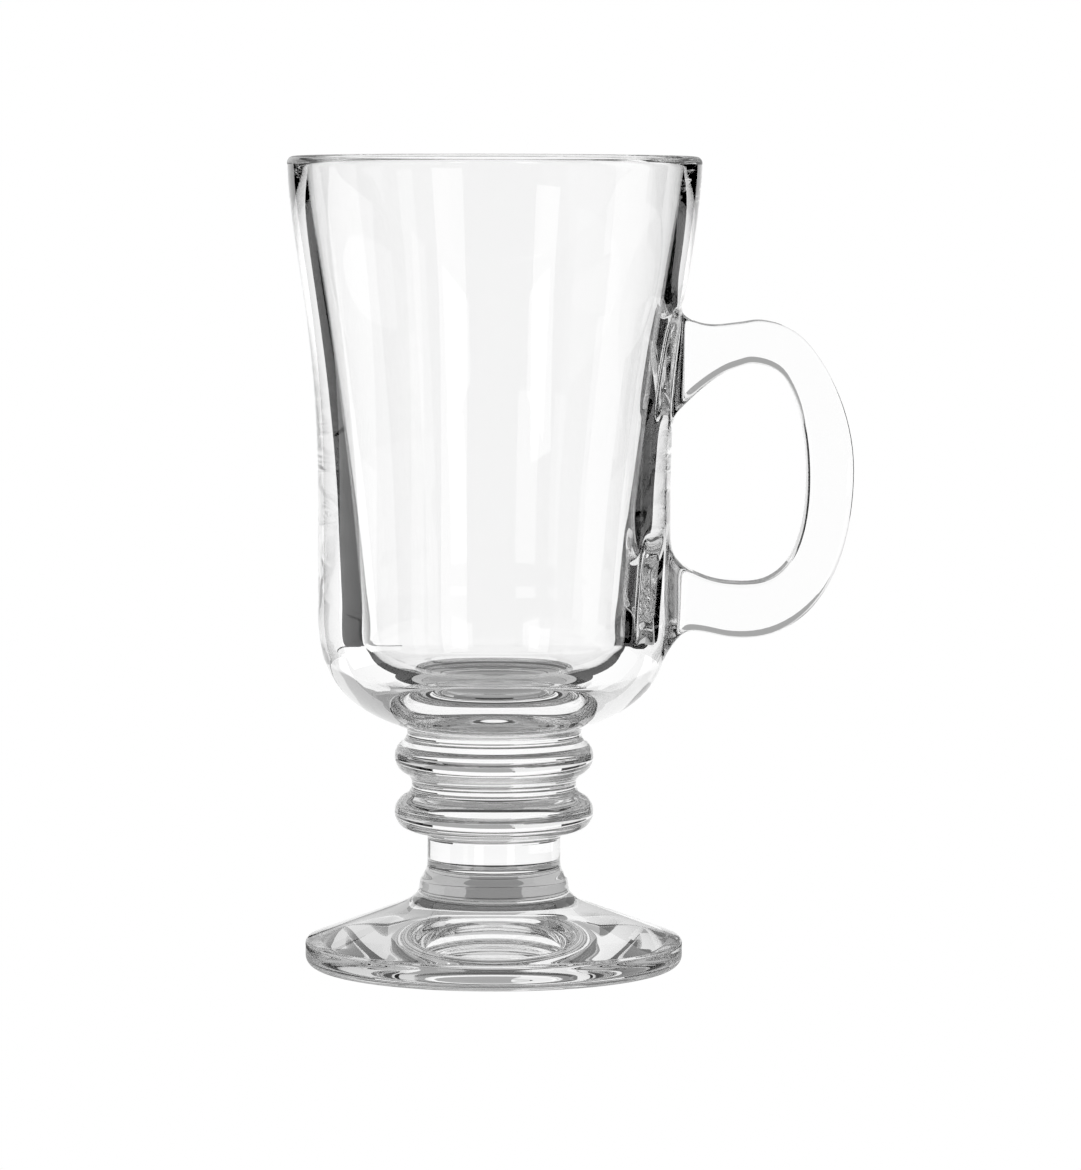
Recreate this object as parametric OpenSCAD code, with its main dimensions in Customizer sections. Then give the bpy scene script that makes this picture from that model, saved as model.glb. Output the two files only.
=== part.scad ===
// Footed glass mug for hot coffee drinks: flared bowl, D handle, ringed stem and round foot.
// Clear pressed glass. Millimetres, +Z up, origin at the centre of the foot's underside.
// The handle stands out along +X.

/* [Bowl] */
// Height from the table to the top of the lip
mug_height = 150; // [135:1:165]
// Diameter over the lip
rim_d = 76.4; // [72:0.2:82]
// Diameter of the straight lower body
body_d = 65.2; // [61:0.2:68]
// Length of the straight lower body
straight_len = 22; // [12:1:30]
// Height of the bowl's curved underside
belly_h = 21.4; // [17:0.2:25]
// Wall thickness at the lip
lip_t = 2.4; // [1.8:0.1:3]
// Wall thickness low in the body, over the cavity's round corner
body_t = 8.2; // [6:0.1:9]
// Glass between the cavity and the neck
floor_t = 9; // [7:0.2:12]
// Width of the round corner between the cavity's floor and its wall
cavity_corner_w = 13.4; // [10:0.2:16]
// Height of that corner
cavity_corner_h = 9; // [7:0.2:12]

/* [Handle] */
// Reach of the handle from the mug's axis
handle_reach = 66.3; // [62:0.1:72]
// Height of the handle loop over its arms
handle_height = 58.5; // [50:0.5:64]
// Height of the loop's lowest point above the table
handle_low = 61.4; // [60:0.2:66]
// Thickness of the loop at the side, where the fingers pull
side_t = 8.5; // [6:0.1:10]
// Thickness of the upper arm
upper_arm_t = 7.8; // [6:0.1:10]
// Thickness of the lower arm
lower_arm_t = 10; // [7:0.1:12]
// Width of the loop across its flat sides
grip_w = 10; // [7:0.2:13]
// Width of the two roots where they meet the bowl's straight body
root_w = 14; // [12:0.2:18]
// Length over which a root runs out into the loop
root_len = 4.5; // [3:0.5:8]

/* [Stem] */
// Height of the seam between bowl and neck above the table
neck_top = 44.6; // [42:0.2:48]
// Diameter over the two beads
bead_d = 36.9; // [34:0.1:42]
// Radius of a bead's round edge
bead_r = 3.5; // [2.8:0.1:3.9]
// Distance between the beads' centres
bead_pitch = 10.3; // [9:0.1:11]
// Depth of the groove between the beads
groove_depth = 3.2; // [2.6:0.1:4]
// Depth of the neck's narrowest level inside the beads' edge
neck_depth = 2.3; // [1.8:0.1:3]
// Height of the neck's narrowest level above the upper bead's centre
neck_gap = 4.5; // [4:0.1:5.2]
// Radius where the neck runs out under the bowl
neck_fillet_r = 1.1; // [0.6:0.1:1.6]
// Diameter of the slim waist
waist_d = 24.7; // [20:0.1:27]
// Radius between the lower bead and the waist
waist_fillet_r = 1.7; // [1:0.1:2.4]

/* [Foot] */
// Diameter of the foot
foot_d = 70; // [64:0.5:78]
// Height of the seam between foot and waist above the table
foot_top = 14.9; // [14:0.1:16]
// Diameter of the stem at that seam
foot_neck_d = 27.7; // [25:0.1:30]
// Height where the foot's slope begins, outside the stem's fillet
foot_rise = 10.9; // [9:0.1:12.4]
// Width of the fillet between the stem and the foot's slope
foot_fillet_w = 4.8; // [3:0.2:7]
// Height of the foot's slope where it reaches the edge
edge_t = 4.8; // [3.8:0.1:6]
// Radius over the foot's edge
edge_over_r = 0.9; // [0.4:0.1:1.4]
// Radius under the foot's edge
edge_under_r = 2; // [1.2:0.1:2.4]
// Width of the flat ring that the foot stands on
rest_w = 2.6; // [1.5:0.1:4]
// Depth of the hollow in the foot's underside
punt_h = 2.6; // [1.5:0.1:3.2]

/* [Hidden] */
$fn = 96;
curve_steps = 14;
arc_steps = 10;
glass_tint = [0.84, 0.91, 0.92, 0.55];

// A cubic curve from p0 to p3 with handles p1 and p2, and n steps along it without its first point
function bez(p0, p1, p2, p3, t) =
    pow(1 - t, 3) * p0 + 3 * pow(1 - t, 2) * t * p1 + 3 * (1 - t) * t * t * p2 + pow(t, 3) * p3;
function bez_run(p0, p1, p2, p3, n) = [for (i = [1 : n]) bez(p0, p1, p2, p3, i / n)];
// Points on a circle from angle a to angle b, with and without the two end points
function on_arc(c, r, a) = c + r * [cos(a), sin(a)];
function arc(c, r, a, b, n) = [for (i = [0 : n]) on_arc(c, r, a + (b - a) * i / n)];
function arc_between(c, r, a, b, n) = [for (i = [1 : n - 1]) on_arc(c, r, a + (b - a) * i / n)];
function back(pts) = [for (i = [len(pts) - 1 : -1 : 0]) pts[i]];

// Stem levels. A bead's edge is a circle round [bead_x, its centre's height], and the hollow beside it
// is an arc that touches that circle and the narrow radius r at the level dz from the bead's centre.
bead_x = bead_d / 2 - bead_r;
neck_r = bead_d / 2 - neck_depth;
groove_bottom_r = bead_d / 2 - groove_depth;
function hollow_r(dz, r) = (dz * dz + pow(r - bead_x, 2) - bead_r * bead_r) / (2 * (bead_r - r + bead_x));
neck_slope = 19;
neck_z = neck_top - neck_fillet_r * cos(neck_slope);
upper_bead_z = neck_z - neck_gap;
lower_bead_z = upper_bead_z - bead_pitch;
groove_z = (upper_bead_z + lower_bead_z) / 2;
neck_hollow_r = hollow_r(neck_gap, neck_r);
groove_hollow_r = hollow_r(bead_pitch / 2, groove_bottom_r);
// Angles at a bead's centre where its circle hands over to the hollows
neck_touch = atan2(neck_gap, neck_r + neck_hollow_r - bead_x);
groove_touch = atan2(bead_pitch / 2, groove_bottom_r + groove_hollow_r - bead_x);
waist_hollow_x = waist_d / 2 + waist_fillet_r;
waist_hollow_dz = sqrt(pow(bead_r + waist_fillet_r, 2) - pow(bead_x - waist_hollow_x, 2));
waist_touch = atan2(waist_hollow_dz, waist_hollow_x - bead_x);

// Bowl levels, and its outside from the neck seam up to the lip
body_r = body_d / 2;
neck_seam = on_arc([neck_r + neck_fillet_r, neck_z], neck_fillet_r, 90 + neck_slope);
body_z0 = neck_top + belly_h;
body_z1 = body_z0 + straight_len;
lip_r = lip_t / 2;
lip_c = [rim_d / 2 - lip_r, mug_height - lip_r];
flare = [rim_d / 2 - body_r, lip_c[1] - body_z1];
belly_low_share = 0.76;
belly_high_share = 0.54;
flare_low_share = 0.51;
flare_high_shares = [0.94, 0.76];
bowl_outer = concat(
    [neck_seam],
    bez_run(neck_seam,
        neck_seam + belly_low_share * (body_r - neck_seam[0]) * [1, tan(neck_slope)],
        [body_r, body_z0 - belly_high_share * belly_h],
        [body_r, body_z0], curve_steps),
    [[body_r, body_z1]],
    bez_run([body_r, body_z1],
        [body_r, body_z1 + flare_low_share * flare[1]],
        [body_r + flare_high_shares[0] * flare[0], body_z1 + flare_high_shares[1] * flare[1]],
        [rim_d / 2, lip_c[1]], curve_steps));

// The cavity: its floor, its round corner and its slowly opening wall
floor_z = neck_top + floor_t;
floor_r = body_r - body_t - cavity_corner_w;
cavity_foot = [body_r - body_t, floor_z + cavity_corner_h];
mouth_r = rim_d / 2 - lip_t;
cavity_open = [mouth_r - cavity_foot[0], lip_c[1] - cavity_foot[1]];
round_share = 0.6;
cavity_low_shares = [0.219, 0.334];
cavity_high_shares = [0.458, 0.666];
cavity_lean = cavity_low_shares[0] * cavity_open[0] / (cavity_low_shares[1] * cavity_open[1]);
cavity_line = concat(
    [[floor_r, floor_z]],
    bez_run([floor_r, floor_z],
        [floor_r + round_share * cavity_corner_w, floor_z],
        cavity_foot - round_share * cavity_corner_h * [cavity_lean, 1],
        cavity_foot, arc_steps),
    bez_run(cavity_foot,
        cavity_foot + [cavity_low_shares[0] * cavity_open[0], cavity_low_shares[1] * cavity_open[1]],
        cavity_foot + [cavity_high_shares[0] * cavity_open[0], cavity_high_shares[1] * cavity_open[1]],
        [mouth_r, lip_c[1]], curve_steps));

module bowl() {
    color(glass_tint)
        rotate_extrude()
            polygon(concat(
                [[0, neck_top]],
                bowl_outer,
                arc_between(lip_c, lip_r, 0, 180, arc_steps),
                back(cavity_line),
                [[0, floor_z]]));
}

// The neck: a wafer with a hollow outside, fused between the bowl and the upper bead
module neck() {
    fillet_c = [neck_r + neck_fillet_r, neck_z];
    hollow_c = [neck_r + neck_hollow_r, neck_z];
    seat = on_arc([bead_x, upper_bead_z], bead_r, neck_touch);
    color(glass_tint)
        rotate_extrude()
            polygon(concat(
                [[0, neck_top]],
                arc(fillet_c, neck_fillet_r, 90 + neck_slope, 180, arc_steps),
                arc_between(hollow_c, neck_hollow_r, 180, 180 + neck_touch, arc_steps),
                [seat, [0, seat[1]]]));
}

// The upper bead, down to the middle of the groove
module upper_bead() {
    bead_c = [bead_x, upper_bead_z];
    groove_c = [groove_bottom_r + groove_hollow_r, groove_z];
    color(glass_tint)
        rotate_extrude()
            polygon(concat(
                [[0, on_arc(bead_c, bead_r, neck_touch)[1]]],
                arc(bead_c, bead_r, neck_touch, -groove_touch, 2 * arc_steps),
                arc_between(groove_c, groove_hollow_r, 180 - groove_touch, 180, arc_steps),
                [[groove_bottom_r, groove_z], [0, groove_z]]));
}

// The lower bead, from the middle of the groove down to the waist's fillet
module lower_bead() {
    bead_c = [bead_x, lower_bead_z];
    groove_c = [groove_bottom_r + groove_hollow_r, groove_z];
    color(glass_tint)
        rotate_extrude()
            polygon(concat(
                [[0, groove_z], [groove_bottom_r, groove_z]],
                arc_between(groove_c, groove_hollow_r, 180, 180 + groove_touch, arc_steps),
                arc(bead_c, bead_r, groove_touch, -waist_touch, 2 * arc_steps),
                [[0, on_arc(bead_c, bead_r, -waist_touch)[1]]]));
}

// The waist: a slim spool with a fillet at its top and a slow flare at its bottom
foot_neck_r = foot_neck_d / 2;
flare_start_share = 0.5;
flare_ease_share = 0.45;
module waist() {
    top = on_arc([bead_x, lower_bead_z], bead_r, -waist_touch);
    hollow_c = [waist_hollow_x, lower_bead_z - waist_hollow_dz];
    flare_h = (hollow_c[1] - foot_top) * flare_start_share;
    color(glass_tint)
        rotate_extrude()
            polygon(concat(
                [[0, top[1]], top],
                arc_between(hollow_c, waist_fillet_r, 180 - waist_touch, 180, arc_steps),
                [[waist_d / 2, hollow_c[1]], [waist_d / 2, foot_top + flare_h]],
                bez_run([waist_d / 2, foot_top + flare_h],
                    [waist_d / 2, foot_top + flare_h - flare_h * flare_ease_share],
                    [foot_neck_r, foot_top + flare_h * flare_ease_share],
                    [foot_neck_r, foot_top], arc_steps),
                [[0, foot_top]]));
}

// The foot: fillet under the stem, sloping top, rounded edge, rest ring and punt
foot_r = foot_d / 2;
slope_start = [foot_neck_r + foot_fillet_w, foot_rise];
slope_angle = atan((foot_rise - edge_t) / (foot_r - slope_start[0]));
edge_c = [foot_r - edge_over_r, edge_t + edge_over_r * (tan(slope_angle) - 1 / cos(slope_angle))];
rest_outer_r = foot_r - edge_under_r;
rest_inner_r = rest_outer_r - rest_w;
punt_r = (rest_inner_r * rest_inner_r + punt_h * punt_h) / (2 * punt_h);
punt_sweep = asin(rest_inner_r / punt_r);
fillet_drop_share = 0.48;
fillet_run_share = 0.48;
module foot() {
    drop = fillet_drop_share * (foot_top - foot_rise);
    run = fillet_run_share * foot_fillet_w;
    color(glass_tint)
        rotate_extrude()
            polygon(concat(
                [[0, foot_top], [foot_neck_r, foot_top]],
                bez_run([foot_neck_r, foot_top],
                    [foot_neck_r, foot_top - drop],
                    slope_start + run * [-1, tan(slope_angle)],
                    slope_start, arc_steps),
                arc(edge_c, edge_over_r, 90 - slope_angle, 0, arc_steps),
                arc([rest_outer_r, edge_under_r], edge_under_r, 0, -90, arc_steps),
                [[rest_inner_r, 0]],
                arc_between([0, punt_h - punt_r], punt_r, 90 - punt_sweep, 90, arc_steps),
                [[0, punt_h]]));
}

// The handle: a loop between an outer and an inner outline in the XZ plane. Both start and end at root_x,
// just inside the bowl's outside, and run on into the glass by root_tail before the bowl trims them.
root_sink = 2.6;
root_tail = 3;
root_x = body_r - root_sink;
outline_steps = [6, 4, 9, 9, 4, 6];
// Outer outline, four curve points a stretch: shares of the reach beyond root_x and of the loop's height
outer_shares = [
    [[0, 1.113], [0.11, 1.015], [0.187, 0.986], [0.289, 0.985]],
    [[0.289, 0.985], [0.372, 0.985], [0.455, 1], [0.551, 1]],
    [[0.551, 1], [0.771, 1], [1, 0.754], [1, 0.532]],
    [[1, 0.532], [1, 0.224], [0.799, 0], [0.441, 0]],
    [[0.441, 0], [0.331, 0], [0.248, 0.024], [0.179, 0.022]],
    [[0.179, 0.022], [0.132, 0.021], [0.083, -0.007], [0, -0.084]]];
// Inner outline: shares of the loop's clear width beyond root_x and of its clear height
inner_shares = [
    [[0, 0.69], [0.144, 0.789], [0.288, 0.892], [0.406, 0.943]],
    [[0.406, 0.943], [0.486, 0.978], [0.568, 1], [0.658, 1]],
    [[0.658, 1], [0.899, 1], [1, 0.74], [1, 0.482]],
    [[1, 0.482], [1, 0.211], [0.899, 0], [0.594, 0]],
    [[0.594, 0], [0.486, 0], [0.396, 0.007], [0.306, 0.032]],
    [[0.306, 0.032], [0.216, 0.057], [0.144, 0.084], [0, 0.174]]];
function placed(share, origin, span) = origin + [share[0] * span[0], share[1] * span[1]];
function outline(shares, origin, span) = [
    placed(shares[0][0], origin - [root_tail, 0], span),
    placed(shares[0][0], origin, span),
    for (k = [0 : len(shares) - 1])
        for (p = bez_run(shares[k][0], shares[k][1], shares[k][2], shares[k][3], outline_steps[k]))
            placed(p, origin, span),
    placed(shares[len(shares) - 1][3], origin - [root_tail, 0], span)];
outer_line = outline(outer_shares, [root_x, handle_low], [handle_reach - root_x, handle_height]);
inner_line = outline(inner_shares, [root_x, handle_low + lower_arm_t],
    [handle_reach - side_t - root_x, handle_height - upper_arm_t - lower_arm_t]);

// A ring across the loop from outline point o to outline point i: flat sides with rounded corners,
// widening towards the bowl
ring_sides = 24;
ring_power = 5;
function rounded(v) = sign(v) * pow(abs(v), 2 / ring_power);
function loop_w(x) = grip_w + (root_w - grip_w) * pow(max(0, 1 - (x - body_r) / root_len), 2);
function ring(o, i) = [for (k = [0 : ring_sides - 1])
    let (a = (k + 0.5) * 360 / ring_sides, m = (o + i) / 2, h = (o - i) / 2)
        [m[0] + h[0] * rounded(cos(a)), loop_w(m[0]) / 2 * rounded(sin(a)), m[1] + h[1] * rounded(cos(a))]];

module handle() {
    n = len(outer_line);
    pts = [for (j = [0 : n - 1]) each ring(outer_line[j], inner_line[j])];
    sides = [for (j = [0 : n - 2]) for (k = [0 : ring_sides - 1])
        let (a = j * ring_sides + k, b = j * ring_sides + (k + 1) % ring_sides)
            each [[a, a + ring_sides, b], [b, a + ring_sides, b + ring_sides]]];
    first_cap = [[for (k = [0 : ring_sides - 1]) k]];
    last_cap = [[for (k = [ring_sides - 1 : -1 : 0]) (n - 1) * ring_sides + k]];
    color(glass_tint)
        difference() {
            polyhedron(points = pts, faces = concat(sides, first_cap, last_cap));
            rotate_extrude()
                polygon(concat([[0, neck_top]], bowl_outer, [[0, lip_c[1]]]));
        }
}

bowl();
handle();
neck();
upper_bead();
lower_bead();
waist();
foot();
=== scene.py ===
import math

import bmesh
import bpy
from mathutils import Matrix, Vector


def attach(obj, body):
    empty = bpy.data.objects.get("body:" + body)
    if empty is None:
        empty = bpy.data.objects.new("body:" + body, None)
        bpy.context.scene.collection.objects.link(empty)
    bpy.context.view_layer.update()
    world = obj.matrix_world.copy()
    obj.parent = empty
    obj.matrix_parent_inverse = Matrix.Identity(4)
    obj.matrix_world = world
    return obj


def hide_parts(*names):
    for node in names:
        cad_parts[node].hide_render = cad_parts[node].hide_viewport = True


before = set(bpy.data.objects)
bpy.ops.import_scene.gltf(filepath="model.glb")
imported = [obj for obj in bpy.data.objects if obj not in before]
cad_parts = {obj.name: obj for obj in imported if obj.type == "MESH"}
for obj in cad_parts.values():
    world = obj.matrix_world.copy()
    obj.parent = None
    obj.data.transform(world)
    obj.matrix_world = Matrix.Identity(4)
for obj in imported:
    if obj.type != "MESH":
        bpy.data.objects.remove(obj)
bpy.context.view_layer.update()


# The camera. A long lens a metre away, a little above the lip and tipped down, with the mug to the left of
# the middle and its handle square to the view.
MM = 0.001
camera_away = 1078 * MM
camera_height = 164.2 * MM
camera_down = math.radians(4.95)
camera_right = math.radians(0.455)
camera_roll = math.radians(0.12)
sensor_width = 36.0
lens_length = 179.8

bpy.ops.object.camera_add(
    location=(0, -camera_away, camera_height),
    rotation=(math.radians(90) - camera_down, 0, -camera_right))
camera = bpy.context.object
camera.name = "camera"
camera.rotation_euler.rotate_axis("Z", camera_roll)
camera.data.sensor_width = sensor_width
camera.data.lens = lens_length
camera.data.clip_start = 0.05
camera.data.clip_end = 12

scene = bpy.context.scene
scene.camera = camera
scene.view_settings.view_transform = "Standard"
# Glass needs long light paths, and its light is neither blurred nor clamped
scene.cycles.max_bounces = 32
scene.cycles.transmission_bounces = 32
scene.cycles.glossy_bounces = 32
scene.cycles.transparent_max_bounces = 64
scene.cycles.caustics_refractive = True
scene.cycles.caustics_reflective = True
scene.cycles.blur_glossy = 0
scene.cycles.sample_clamp_indirect = 0
scene.cycles.use_denoising = True


# The table and the light. A white light table in a white room, glowing sheets under and round the foot that
# are painted shade and painted light (the stem's shadow, the shade round the foot and the lit table beyond
# them), and lit panels and black flags that the glass bends into view as its bright fields, dark edges and
# highlights. The panels turn with the camera's stand, and neither they nor the sheets are seen directly.
def linear(hex_colour):
    channels = [int(hex_colour[i:i + 2], 16) / 255 for i in (1, 3, 5)]
    return [c / 12.92 if c <= 0.04045 else ((c + 0.055) / 1.055) ** 2.4 for c in channels] + [1]


def new_material(name):
    material = bpy.data.materials.new(name)
    material.use_nodes = True
    material.node_tree.nodes.clear()
    return material


def add_node(material, kind, values=(), links=()):
    node = material.node_tree.nodes.new(kind)
    for socket, value in values:
        node.inputs[socket].default_value = value
    for socket, source in links:
        material.node_tree.links.new(source.outputs[0], node.inputs[socket])
    return node


def light_surface(name, brightness):
    material = new_material(name)
    light = add_node(material, "ShaderNodeEmission", [
        ("Color", linear("#ffffff")), ("Strength", brightness)])
    add_node(material, "ShaderNodeOutputMaterial", links=[("Surface", light)])
    return material


room = bpy.data.worlds.new("white room")
room.use_nodes = True
room.node_tree.nodes["Background"].inputs["Color"].default_value = linear("#ffffff")
room.node_tree.nodes["Background"].inputs["Strength"].default_value = 1.0
scene.world = room

table_r = 300 * MM
bpy.ops.object.select_all(action="DESELECT")
bpy.ops.mesh.primitive_circle_add(vertices=96, radius=table_r, fill_type="NGON", location=(0, 0, 0))
table = bpy.context.object
table.name = "light_table"
table.data.materials.append(light_surface("opal acrylic light table", 1.0))
table.visible_transmission = False
table.visible_glossy = False


# A flat grid that bend_to then lays out from azimuth to azimuth (0 is straight behind the mug) and from its
# low edge to its high one
def lit_grid(name, columns, rows, azimuths, edges, brightness, bend_to):
    bpy.ops.object.select_all(action="DESELECT")
    bpy.ops.mesh.primitive_grid_add(x_subdivisions=columns, y_subdivisions=rows, size=1)
    grid = bpy.context.object
    grid.name = name
    for v in grid.data.vertices:
        azimuth = math.radians(azimuths[0] + (azimuths[1] - azimuths[0]) * (v.co.x + 0.5))
        v.co = bend_to(azimuth, edges[0] + (edges[1] - edges[0]) * (v.co.y + 0.5))
    grid.data.materials.append(light_surface(name.replace("_", " "), brightness))
    grid.visible_camera = False
    return grid


# Painted shade and painted light on the table: a glowing sheet a hair under the foot, between two radii in
# mm, whose brightness stands in for the shade and light that fall there
painted_sheet_z = -0.05 * MM


def sheet(name, azimuths, radii, brightness):
    def on_table(azimuth, r):
        return r * MM * math.sin(azimuth), r * MM * math.cos(azimuth), painted_sheet_z

    lit_grid(name, 72, 1, azimuths, radii, brightness, on_table)


# A curved panel on the stand, round the mug's middle, between two elevations as the camera sees them and
# reach metres away. A nearer panel hides those behind it.
mug_middle_z = 75 * MM
stand_centre = Vector((0, 0, -math.hypot(camera_away, camera_height - mug_middle_z)))


def screen(name, azimuths, elevations, reach, brightness):
    def on_stand(azimuth, elevation):
        up = math.radians(elevation)
        level = math.cos(up)
        return reach * Vector((math.sin(azimuth) * level, math.sin(up), -math.cos(azimuth) * level))

    panel = lit_grid(name, 36, 18, azimuths, elevations, brightness, on_stand)
    panel.parent = camera
    panel.matrix_local = Matrix.Translation(stand_centre)


# Painted shade and painted light seen through the glass: the shade under the hollow, the stem's shadow and
# the shade round the foot are dim glowing sheets, and the light under and round the foot and on the table
# behind the mug are brighter ones
sheet("shade_under_hollow", (-180, 180), (0.1, 20), 0.3)
sheet("stem_shade", (-8, 8), (20, 34.5), 0.08)
sheet("glow_under_foot", (8, 352), (20, 34.5), 0.4)
sheet("stem_shade_behind", (-3, 3), (34.5, 45), 0.28)
sheet("glow_round_foot", (3, 357), (34.5, 45), 0.5)
sheet("shade_round_foot", (-180, 180), (45, 60), 0.06)
sheet("painted_light_behind_mug", (-67, 64), (60, 240), 1.02)
screen("low_card_left", (-61.5, -18), (-29.4, -11.4), 0.248, 0.0)
screen("low_card_right", (34, 43), (-18.7, -4.4), 0.63, 0.0)
screen("soft_box_left", (-162.5, -145.5), (-23.5, -6), 1.9, 1.6)
screen("soft_box_far_left", (-134, -125), (-23.5, -6), 1.9, 0.8)
screen("soft_box_right", (143, 156.5), (-23.5, -10.7), 1.9, 1.6)
screen("backdrop", (-32.5, 27), (-26.5, 6.3), 2.0, 1.07)
screen("backdrop_top", (-8, 34), (6, 31.5), 2.05, 0.42)
screen("ceiling_back", (-27, 27), (29.7, 48.3), 2.1, 1.0)
screen("ceiling_flag", (-80, 107), (46, 72), 2.15, 0.55)
screen("ceiling", (-180, 180), (70.7, 90), 2.2, 0.9)
screen("wall_low_left", (-98, -60), (-23, 10), 2.25, 1.05)
screen("wall_low_right", (64, 131), (-43, -14.3), 2.3, 0.4)
screen("flag_left", (-157, -12.4), (-18.2, -10.7), 2.35, 0.0)
screen("flag_right", (34, 137), (-20.5, -2.8), 2.4, 0.0)
screen("wall_left", (-90.6, -9), (6.3, 24.5), 2.45, 0.9)
screen("wall_right", (-15.3, 102), (9.1, 44.7), 2.5, 0.72)
screen("wall_high_left", (-90.6, -27), (24.5, 44.7), 2.55, 0.2)
screen("wall_front_left", (-150, -90.6), (10, 40), 2.6, 0.35)
screen("wall_front_right", (102, 150), (10, 40), 2.65, 0.2)
screen("ceiling_front", (150, 210), (50, 70.7), 2.7, 0.5)
screen("floor", (-72, 69), (-90, -26.5), 2.75, 0.05)
screen("studio", (-180, 180), (-90, 90), 3.6, 0.0)


# The foot. A round foot of pressed glass that slopes from the stem to a rounded edge. It stands on a narrow
# flat ring, and inside that ring its underside is hollowed (the punt), so that it doesn't rock.
pole_r = 0.7
punt_depth = 2.6
punt_curve_r = 179
punt_radii = (3, 7, 11, 15, 19, 23, 26.5, 29)
standing_ring = [(30.2, 0.05), (30.7, 0.0), (31.8, 0.0), (32.6, 0.0)]
foot_r = 35
under_edge_r = 2
edge_heights = (2.9, 3.7)
over_edge_r = 0.9
over_edge_z = 4.175
slope_out = (34.415, 5.018)
slope_in = (18.65, 10.9)
foot_top_r = 13.85
foot_top_z = 14.9


# Outlines are lists of (radius, height) in mm, from the punt's pole outwards and up to the cavity's pole
def bezier_point(points, t):
    weights = ((1 - t) ** 3, 3 * (1 - t) ** 2 * t, 3 * (1 - t) * t * t, t ** 3)
    return tuple(sum(w * p[k] for w, p in zip(weights, points)) for k in (0, 1))


def bezier(points, steps, first=1):
    return [bezier_point(points, i / steps) for i in range(first, steps + 1)]


def arc(centre, r, start, end, steps, first=0):
    angles = [math.radians(start + (end - start) * i / steps) for i in range(first, steps + 1)]
    return [(centre[0] + r * math.cos(a), centre[1] + r * math.sin(a)) for a in angles]


def line(start, end, steps):
    return [tuple(a + (b - a) * i / steps for a, b in zip(start, end)) for i in range(1, steps + 1)]


outlines = {}
outlines["foot"] = (
    [(pole_r, punt_depth)]
    + [(r, punt_depth - (punt_curve_r - math.sqrt(punt_curve_r ** 2 - r * r))) for r in punt_radii]
    + standing_ring
    + arc((foot_r - under_edge_r, under_edge_r), under_edge_r, -78, 0, 4)
    + [(foot_r, z) for z in edge_heights]
    + arc((foot_r - over_edge_r, over_edge_z), over_edge_r, 8, 69.5, 3)
    + line(slope_out, slope_in, 8)
    + bezier([slope_in, (16.35, 11.76), (foot_top_r, 12.98), (foot_top_r, foot_top_z)], 6))


# The waist. The slim spool of glass between the foot and the rings. It flares slowly on to the foot, to
# which it is fused, and ends in a small fillet under the lower ring.
waist_r = 12.35
flare_top_z = 19.27
straight_top_z = 23.2
waist_fillet_r = 1.7
waist_fillet_z = 23.64

outlines["waist"] = (
    bezier([(foot_top_r, foot_top_z), (foot_top_r, 16.87), (waist_r, 17.3), (waist_r, flare_top_z)], 5)
    + line((waist_r, flare_top_z), (waist_r, straight_top_z), 3)
    + arc((waist_r + waist_fillet_r, waist_fillet_z), waist_fillet_r, 172, 84, 5))


# The lower bead. The lower of the stem's two round rings of solid glass, fused to the waist. The hollow
# groove above it is shared with the upper ring, and the seam lies in the middle of the groove.
bead_r = 3.5
bead_centre_r = 14.95
lower_bead_z = 28.76
groove_hollow_r = 2.244
groove_centre = (17.494, 33.91)

outlines["lower_bead"] = (
    arc((bead_centre_r, lower_bead_z), bead_r, -92, 62, 10)
    + arc(groove_centre, groove_hollow_r, -128, -180, 3))


# The upper bead. The same ring of solid glass once more, fused to the lower one in the groove and to the
# neck at its top.
upper_bead_z = 39.06

outlines["upper_bead"] = (
    arc(groove_centre, groove_hollow_r, 180, 128, 3, 1)
    + arc((bead_centre_r, upper_bead_z), bead_r, -62, 54.15, 9))


# The neck. A hollow-sided wafer of glass (a merese) that joins the rings to the bowl, with a small fillet
# where it opens under the bowl.
neck_r = 16.15
neck_z = 43.56
neck_hollow_r = 2.052
neck_fillet_r = 1.1

outlines["neck"] = (
    arc((neck_r + neck_hollow_r, neck_z), neck_hollow_r, -138, -180, 3)
    + arc((neck_r + neck_fillet_r, neck_z), neck_fillet_r, 170, 109, 3))


# The bowl. A cup of pressed glass with a round belly and an upright wall that flares to a fire-rounded lip.
# The wall of its cavity is heavy below and thin at the lip, over a thick floor.
body_r = 32.6
rim_r = 38.2
lip_r = 1.2
lip_z = 148.8
floor_r = 11
floor_z = 53.6
cavity_turn = (24.4, 62.6)
belly = [(16.892, 44.6), (28.83, 48.71), (body_r, 54.44), (body_r, 66)]
flare = [(body_r, 88), (body_r, 119), (37.864, 134.2), (rim_r, lip_z)]
cavity_wall = [(rim_r - 2 * lip_r, lip_z), (29.621, 120.009), (26.897, 91.391), cavity_turn]
cavity_corner = [cavity_turn, (23.8, 55.4), (17.7, floor_z), (floor_r, floor_z)]
floor_radii = (8.5, 5.5, 3, pole_r)
lower_root = (58.8, 63.4, 68.0, 72.6, 77.2)
upper_root = (102.4, 107.9, 113.4, 118.9, 124.3)
wall_heights = lower_root + (82, 87, 92, 97.5) + upper_root + (130, 135.5, 141, 145, 147.6)
fine_steps = 400
wall_line = bezier(belly, fine_steps, 0) + bezier(flare, fine_steps, 0)


def wall_r(z):
    for (r0, z0), (r1, z1) in zip(wall_line, wall_line[1:]):
        if z0 <= z <= z1:
            return r0 + (r1 - r0) * (z - z0) / max(z1 - z0, 1e-9)


bowl_outside = bezier(belly, 12)[:8] + [(wall_r(z), z) for z in wall_heights]
bowl_inside = (
    arc((rim_r - lip_r, lip_z), lip_r, 0, 180, 6)
    + bezier(cavity_wall, 15)
    + bezier(cavity_corner, 9)
    + [(r, floor_z) for r in floor_radii])
outlines["bowl"] = bowl_outside + bowl_inside


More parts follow.
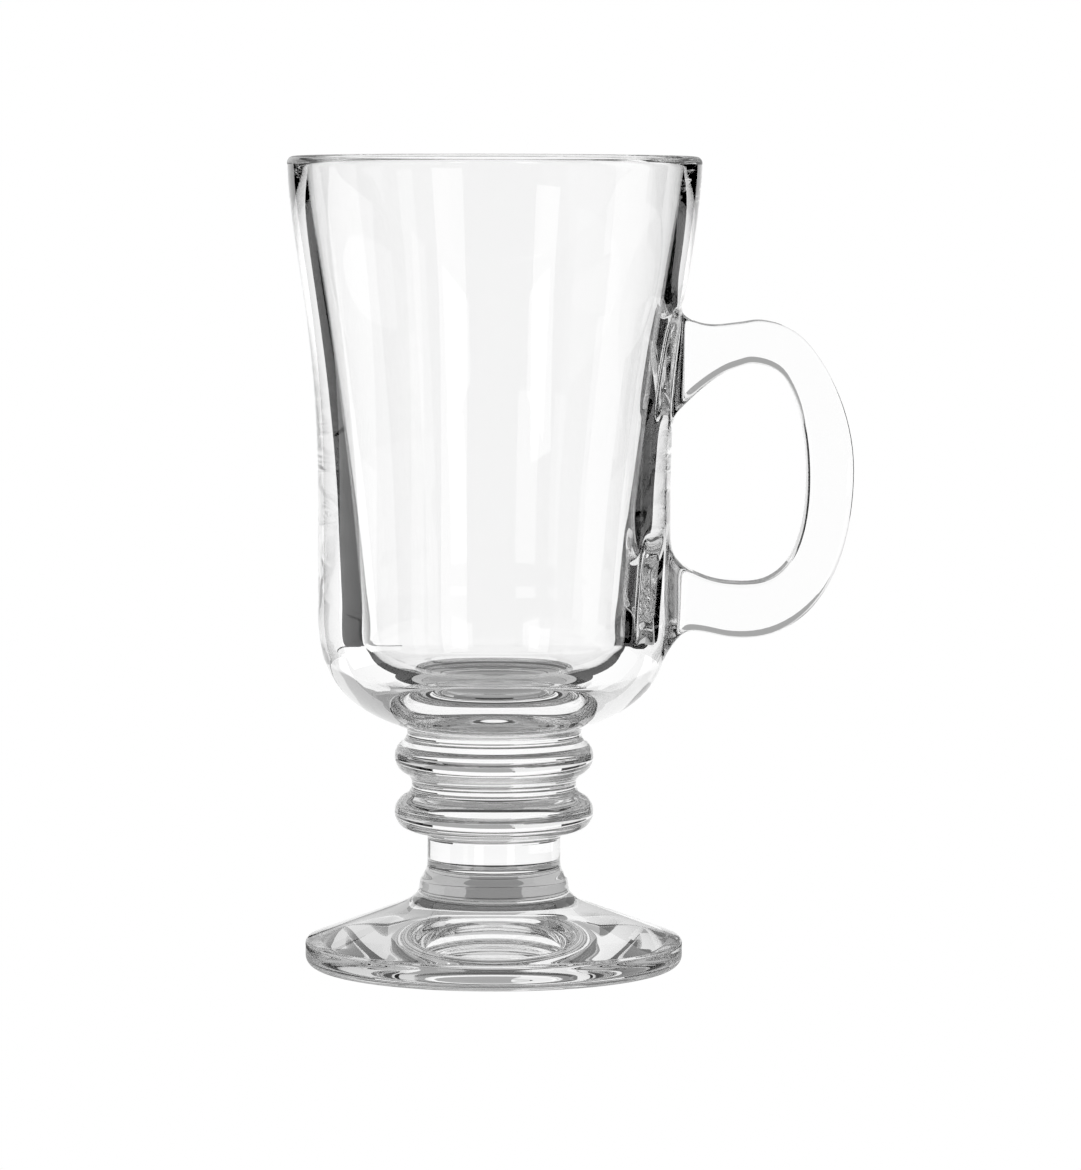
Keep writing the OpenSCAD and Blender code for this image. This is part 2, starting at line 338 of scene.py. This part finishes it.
# These six masses are fused into one glass, so they are grown as one mesh, ring by ring from the punt's
# pole. Subdivision rounds it later, and each point is first set off by as much as the rounding will draw it
# in.
def before_rounding(points):
    moved = [list(p) for p in points]
    for _ in range(12):
        last = [list(p) for p in moved]
        for i in range(1, len(points) - 1):
            for k in (0, 1):
                moved[i][k] += points[i][k] - (last[i - 1][k] + 4 * last[i][k] + last[i + 1][k]) / 6
    return moved


sides = 64
widening = 3 / (2 + math.cos(2 * math.pi / sides))
points = [point for outline in outlines.values() for point in outline]
mass_of_ring = [mass for mass, outline in outlines.items() for _ in outline]
cage = [(r * widening * MM, z * MM) for r, z in before_rounding(points)]

bpy.ops.object.select_all(action="DESELECT")
bpy.ops.mesh.primitive_circle_add(vertices=sides, radius=cage[0][0], location=(0, 0, cage[0][1]))
glass = bpy.context.object
glass.name = "glass"
bpy.ops.object.transform_apply(location=True, rotation=True, scale=True)
bpy.ops.object.mode_set(mode="EDIT")
bpy.ops.mesh.select_all(action="SELECT")
for (r0, z0), (r1, z1) in zip(cage, cage[1:]):
    bpy.ops.mesh.extrude_edges_move()
    bpy.ops.transform.resize(value=(r1 / r0, r1 / r0, 1), center_override=(0, 0, 0))
    bpy.ops.transform.translate(value=(0, 0, z1 - z0))
bpy.ops.object.mode_set(mode="OBJECT")

# Each mass is marked with a material of its own until they are parted
mesh = glass.data
masses = list(outlines) + ["handle"]
for mass in masses:
    mesh.materials.append(bpy.data.materials.new("mass " + mass))
for f in mesh.polygons:
    f.material_index = masses.index(mass_of_ring[f.index // sides + 1])


# A pole is closed with a fan of faces round a point on the axis
def close_pole(ring, pole_z):
    for v in mesh.vertices:
        v.select = ring * sides <= v.index < (ring + 1) * sides
    for e in mesh.edges:
        e.select = all(mesh.vertices[i].select for i in e.vertices)
    for f in mesh.polygons:
        f.select = False
    bpy.ops.object.mode_set(mode="EDIT")
    bpy.ops.mesh.extrude_edges_move()
    bpy.ops.mesh.merge(type="CENTER")
    bpy.ops.transform.translate(value=(0, 0, pole_z * MM - cage[ring][1]))
    bpy.ops.object.mode_set(mode="OBJECT")


close_pole(len(cage) - 1, floor_z)
close_pole(0, punt_depth)


# The handle. A D-shaped loop of solid glass with rounded corners, pressed to shape and fused to the bowl
# while hot. Both its roots spread into the bowl's wall.
grip_half = 5.0
corner_share = 0.62
outer_corner = (30, 61.4)
outer_span = (36.3, 58.5)
outer_shares = [
    (0, 1.113), (0.11, 1.015), (0.187, 0.986), (0.289, 0.985), (0.372, 0.985), (0.455, 1), (0.551, 1),
    (0.771, 1), (1, 0.754), (1, 0.532), (1, 0.224), (0.799, 0), (0.441, 0),
    (0.331, 0), (0.248, 0.024), (0.179, 0.022), (0.132, 0.021), (0.083, -0.007), (0, -0.084)]
inner_corner = (30, 71.4)
inner_span = (27.8, 40.7)
inner_shares = [
    (0, 0.69), (0.144, 0.789), (0.288, 0.892), (0.406, 0.943), (0.486, 0.978), (0.568, 1), (0.658, 1),
    (0.899, 1), (1, 0.74), (1, 0.482), (1, 0.211), (0.899, 0), (0.594, 0),
    (0.486, 0), (0.396, 0.007), (0.306, 0.032), (0.216, 0.057), (0.144, 0.084), (0, 0.174)]
stations = (
    0.38, 0.52, 0.75, 1.05, 1.35, 1.65, 1.95, 2.2, 2.4, 2.6, 2.8, 3.0, 3.18, 3.36, 3.54, 3.72, 3.9, 4.15,
    4.45, 4.75, 5.05, 5.3, 5.5)
root_columns = [360 / sides * i for i in (-2, -1, 0, 1, 2)]
wall_slack = 0.8
height_slack = 0.01
angle_slack = 0.5


# The loop's outer and inner line are each six curves end to end, as shares of a box with that low corner
# and span. A station's whole part counts the curves before it.
def loop_line(shares, corner, span):
    line_points = []
    for station in stations:
        curve = min(int(station), 5)
        x, z = bezier_point(shares[3 * curve:3 * curve + 4], station - curve)
        line_points.append((corner[0] + x * span[0], corner[1] + z * span[1]))
    return before_rounding(line_points)


outer_line = loop_line(outer_shares, outer_corner, outer_span)
inner_line = loop_line(inner_shares, inner_corner, inner_span)
side_steps = (-1, -corner_share, 0, corner_share)
section = (
    [(1, y) for y in side_steps] + [(-x, 1) for x in side_steps]
    + [(-1, -y) for y in side_steps] + [(x, -1) for x in side_steps])


def section_between(outer, inner):
    places = []
    for across, side in section:
        x, z = ((o + i) / 2 + across * (o - i) / 2 for o, i in zip(outer, inner))
        places.append(Vector((x, side * grip_half, z)) * MM)
    return places


bpy.ops.object.mode_set(mode="EDIT")
bpy.ops.mesh.select_all(action="DESELECT")
bm = bmesh.from_edit_mesh(mesh)
outside_cage = cage[-len(outlines["bowl"]):-len(bowl_inside)]
cage_z = {
    z: min(outside_cage, key=lambda point: abs(point[1] / MM - z))[1]
    for z in lower_root + upper_root}


def angle_of(place):
    return math.degrees(math.atan2(place.y, place.x))


def on_outside(place):
    return math.hypot(place.x, place.y) / MM > wall_r(place.z / MM) - wall_slack


def wall_vert(column, z):
    return next(v for v in bm.verts if abs(v.co.z - cage_z[z]) < height_slack * MM
                and abs(angle_of(v.co) - column) < angle_slack and on_outside(v.co))


# A root's edge on the wall, from the row beside the loop's outer line round to it again
def root_edge(rows):
    return ([wall_vert(column, rows[0]) for column in root_columns[:-1]]
            + [wall_vert(root_columns[-1], z) for z in rows[:-1]]
            + [wall_vert(column, rows[-1]) for column in root_columns[:0:-1]]
            + [wall_vert(root_columns[0], z) for z in rows[:0:-1]])


upper_edge = root_edge(upper_root[::-1])
lower_edge = root_edge(lower_root)

# The wall is opened under both roots
bpy.ops.mesh.select_mode(type="FACE")
for rows in (upper_root, lower_root):
    for f in bm.faces:
        middle = f.calc_center_median()
        if (cage_z[rows[0]] < middle.z < cage_z[rows[-1]] and abs(angle_of(middle)) < root_columns[-1]
                and on_outside(middle)):
            f.select_set(True)
bpy.ops.mesh.delete(type="FACE")

# The loop is extruded from the upper root, station by station, and welded to the lower root
route = [section_between(outer, inner) for outer, inner in zip(outer_line, inner_line)]
route.append([v.co.copy() for v in lower_edge])
bpy.ops.mesh.select_mode(type="EDGE")
ring = upper_edge
for places in route:
    bpy.ops.mesh.select_all(action="DESELECT")
    for a, b in zip(ring, ring[1:] + ring[:1]):
        bm.edges.get((a, b)).select_set(True)
    bpy.ops.mesh.extrude_edges_move()
    ring = [next(e.other_vert(v) for e in v.link_edges if e.other_vert(v).select) for v in ring]
    for v, place in zip(ring, places):
        v.co = place
        for f in v.link_faces:
            f.material_index = masses.index("handle")
bpy.ops.mesh.select_all(action="SELECT")
bpy.ops.mesh.remove_doubles(threshold=0.001 * MM)


def face_outwards(mesh):
    bpy.ops.mesh.select_all(action="SELECT")
    bpy.ops.mesh.normals_make_consistent(inside=False)
    if bmesh.from_edit_mesh(mesh).calc_volume(signed=True) < 0:
        bpy.ops.mesh.flip_normals()


face_outwards(mesh)
bpy.ops.object.mode_set(mode="OBJECT")
bpy.ops.object.shade_smooth()


# The finished glass. The whole mug is rounded and then parted where its masses are fused. A seam is no wall
# in the real glass, so the faces that close one are see-through, and the shading runs on across it.
rounding = glass.modifiers.new("rounding", "SUBSURF")
rounding.levels = rounding.render_levels = 2
bpy.ops.object.modifier_apply(modifier="rounding")
mesh = glass.data
smooth_normals = [n.vector.copy() for n in mesh.vertex_normals]
kept_normals = mesh.attributes.new("custom_normal", "FLOAT_VECTOR", "POINT")
for kept, normal in zip(kept_normals.data, smooth_normals):
    kept.vector = normal

# Clear soda-lime glass, pressed in a polished mould and then fire-polished. Its surface is perfectly smooth
# and it has no colour, so all that shows is how it bends and mirrors the light.
clear_glass = new_material("fire-polished soda-lime glass")
glass_shader = add_node(clear_glass, "ShaderNodeBsdfPrincipled", [
    ("Base Color", linear("#ffffff")), ("Roughness", 0.0), ("IOR", 1.52), ("Transmission Weight", 1.0)])
add_node(clear_glass, "ShaderNodeOutputMaterial", links=[("Surface", glass_shader)])

# Where two masses are fused there is no surface, and light goes straight on
fused_seam = new_material("fused seam")
seam_shader = add_node(fused_seam, "ShaderNodeBsdfTransparent")
add_node(fused_seam, "ShaderNodeOutputMaterial", links=[("Surface", seam_shader)])


def open_loops(bm):
    left = [e for e in bm.edges if e.is_boundary]
    loops = []
    while left:
        loop = [left.pop()]
        for e in loop:
            for near in [x for v in e.verts for x in v.link_edges if x in left]:
                left.remove(near)
                loop.append(near)
        loops.append(loop)
    return loops


# A flat seam is closed with one face, and a root's seam on the bowl with a grid that follows the wall
def close_seams(mesh):
    bm = bmesh.from_edit_mesh(mesh)
    bpy.ops.mesh.select_mode(type="EDGE")
    for loop in open_loops(bm):
        bpy.ops.mesh.select_all(action="DESELECT")
        for e in loop:
            e.select_set(True)
        heights = [v.co.z for e in loop for v in e.verts]
        if max(heights) - min(heights) < 0.1 * MM:
            bpy.ops.mesh.edge_face_add()
        else:
            bpy.ops.mesh.fill_grid(span=16)
        for f in bm.faces:
            if f.select:
                f.material_index = 1
                f.smooth = False


bpy.ops.object.mode_set(mode="EDIT")
bpy.ops.mesh.select_all(action="SELECT")
bpy.ops.mesh.separate(type="MATERIAL")
bpy.ops.object.mode_set(mode="OBJECT")
for piece in [o for o in bpy.context.selected_objects if o.type == "MESH"]:
    mesh = piece.data
    mass = mesh.materials[mesh.polygons[0].material_index].name.removeprefix("mass ")
    piece.name = "glass_" + mass
    mesh.materials.clear()
    mesh.materials.append(clear_glass)
    mesh.materials.append(fused_seam)
    for f in mesh.polygons:
        f.material_index = 0
    bpy.ops.object.select_all(action="DESELECT")
    piece.select_set(True)
    bpy.context.view_layer.objects.active = piece
    bpy.ops.object.mode_set(mode="EDIT")
    close_seams(mesh)
    face_outwards(mesh)
    bpy.ops.object.mode_set(mode="OBJECT")
    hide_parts(mass)
    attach(piece, "root")
for mass in masses:
    bpy.data.materials.remove(bpy.data.materials["mass " + mass])
